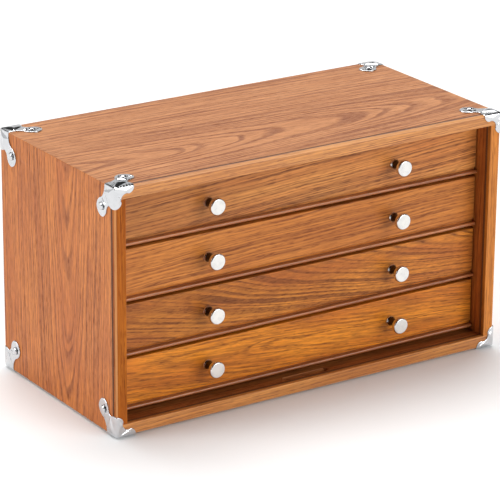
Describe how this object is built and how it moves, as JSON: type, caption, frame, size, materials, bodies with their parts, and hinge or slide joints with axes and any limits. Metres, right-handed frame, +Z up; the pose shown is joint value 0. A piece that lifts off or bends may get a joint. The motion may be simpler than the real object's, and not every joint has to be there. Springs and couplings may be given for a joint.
{
  "type": "type case",
  "caption": "Table-top wooden type case with metal corners and full-width drawers for metal type, each with knobs and a bead, set back in a frame.",
  "frame": {"origin": "on the surface that the case stands on, under the middle of the case", "axes": "+X to the right along the width, +Y from the drawer fronts to the back, +Z up"},
  "size_m": [0.3838, 0.187, 0.2144],
  "materials": {
    "case_wood": "satin varnish over oak veneer",
    "edge_wood": "satin varnish over solid oak",
    "drawer_wood": "satin varnish over oak",
    "inner_wood": "bare, sanded",
    "runner_wood": "waxed hardwood",
    "corner_metal": "polished plate over a casting",
    "knob_metal": "polished nickel plate",
    "screw_metal": "zinc-plated steel"
  },
  "bodies": {
    "case": {"top_panel": "case_wood", "bottom_panel": "case_wood", "left_panel": "case_wood", "right_panel": "case_wood", "back_panel": "case_wood", "top_edge": "edge_wood", "bottom_edge": "edge_wood", "left_edge": "edge_wood", "right_edge": "edge_wood", "corner_top_front_left": "corner_metal", "corner_top_front_right": "corner_metal", "corner_top_back_left": "corner_metal", "corner_top_back_right": "corner_metal", "corner_bottom_front_left": "corner_metal", "corner_bottom_front_right": "corner_metal", "corner_bottom_back_left": "corner_metal", "corner_bottom_back_right": "corner_metal", "corner_nails": "corner_metal", "back_panel_screws": "screw_metal", "left_runners": "runner_wood", "right_runners": "runner_wood", "runner_screws": "screw_metal"},
    "drawer_1": {"drawer_1_front": "drawer_wood", "drawer_1_bead": "edge_wood", "drawer_1_left_side": "inner_wood", "drawer_1_right_side": "inner_wood", "drawer_1_back": "inner_wood", "drawer_1_bottom": "inner_wood", "drawer_1_dividers": "inner_wood", "drawer_1_knobs": "knob_metal", "drawer_1_knob_screws": "screw_metal"},
    "drawer_2": {"drawer_2_front": "drawer_wood", "drawer_2_bead": "edge_wood", "drawer_2_left_side": "inner_wood", "drawer_2_right_side": "inner_wood", "drawer_2_back": "inner_wood", "drawer_2_bottom": "inner_wood", "drawer_2_dividers": "inner_wood", "drawer_2_knobs": "knob_metal", "drawer_2_knob_screws": "screw_metal"},
    "drawer_3": {"drawer_3_front": "drawer_wood", "drawer_3_bead": "edge_wood", "drawer_3_left_side": "inner_wood", "drawer_3_right_side": "inner_wood", "drawer_3_back": "inner_wood", "drawer_3_bottom": "inner_wood", "drawer_3_dividers": "inner_wood", "drawer_3_knobs": "knob_metal", "drawer_3_knob_screws": "screw_metal"},
    "drawer_4": {"drawer_4_front": "drawer_wood", "drawer_4_bead": "edge_wood", "drawer_4_left_side": "inner_wood", "drawer_4_right_side": "inner_wood", "drawer_4_back": "inner_wood", "drawer_4_bottom": "inner_wood", "drawer_4_dividers": "inner_wood", "drawer_4_knobs": "knob_metal", "drawer_4_knob_screws": "screw_metal"}
  },
  "joints": [
    {"name": "drawer_1_slide", "type": "slide", "parent": "case", "child": "drawer_1", "axis": [0, -1, 0], "range_m": [0, 0.11]},
    {"name": "drawer_2_slide", "type": "slide", "parent": "case", "child": "drawer_2", "axis": [0, -1, 0], "range_m": [0, 0.11]},
    {"name": "drawer_3_slide", "type": "slide", "parent": "case", "child": "drawer_3", "axis": [0, -1, 0], "range_m": [0, 0.11]},
    {"name": "drawer_4_slide", "type": "slide", "parent": "case", "child": "drawer_4", "axis": [0, -1, 0], "range_m": [0, 0.11]}
  ]
}
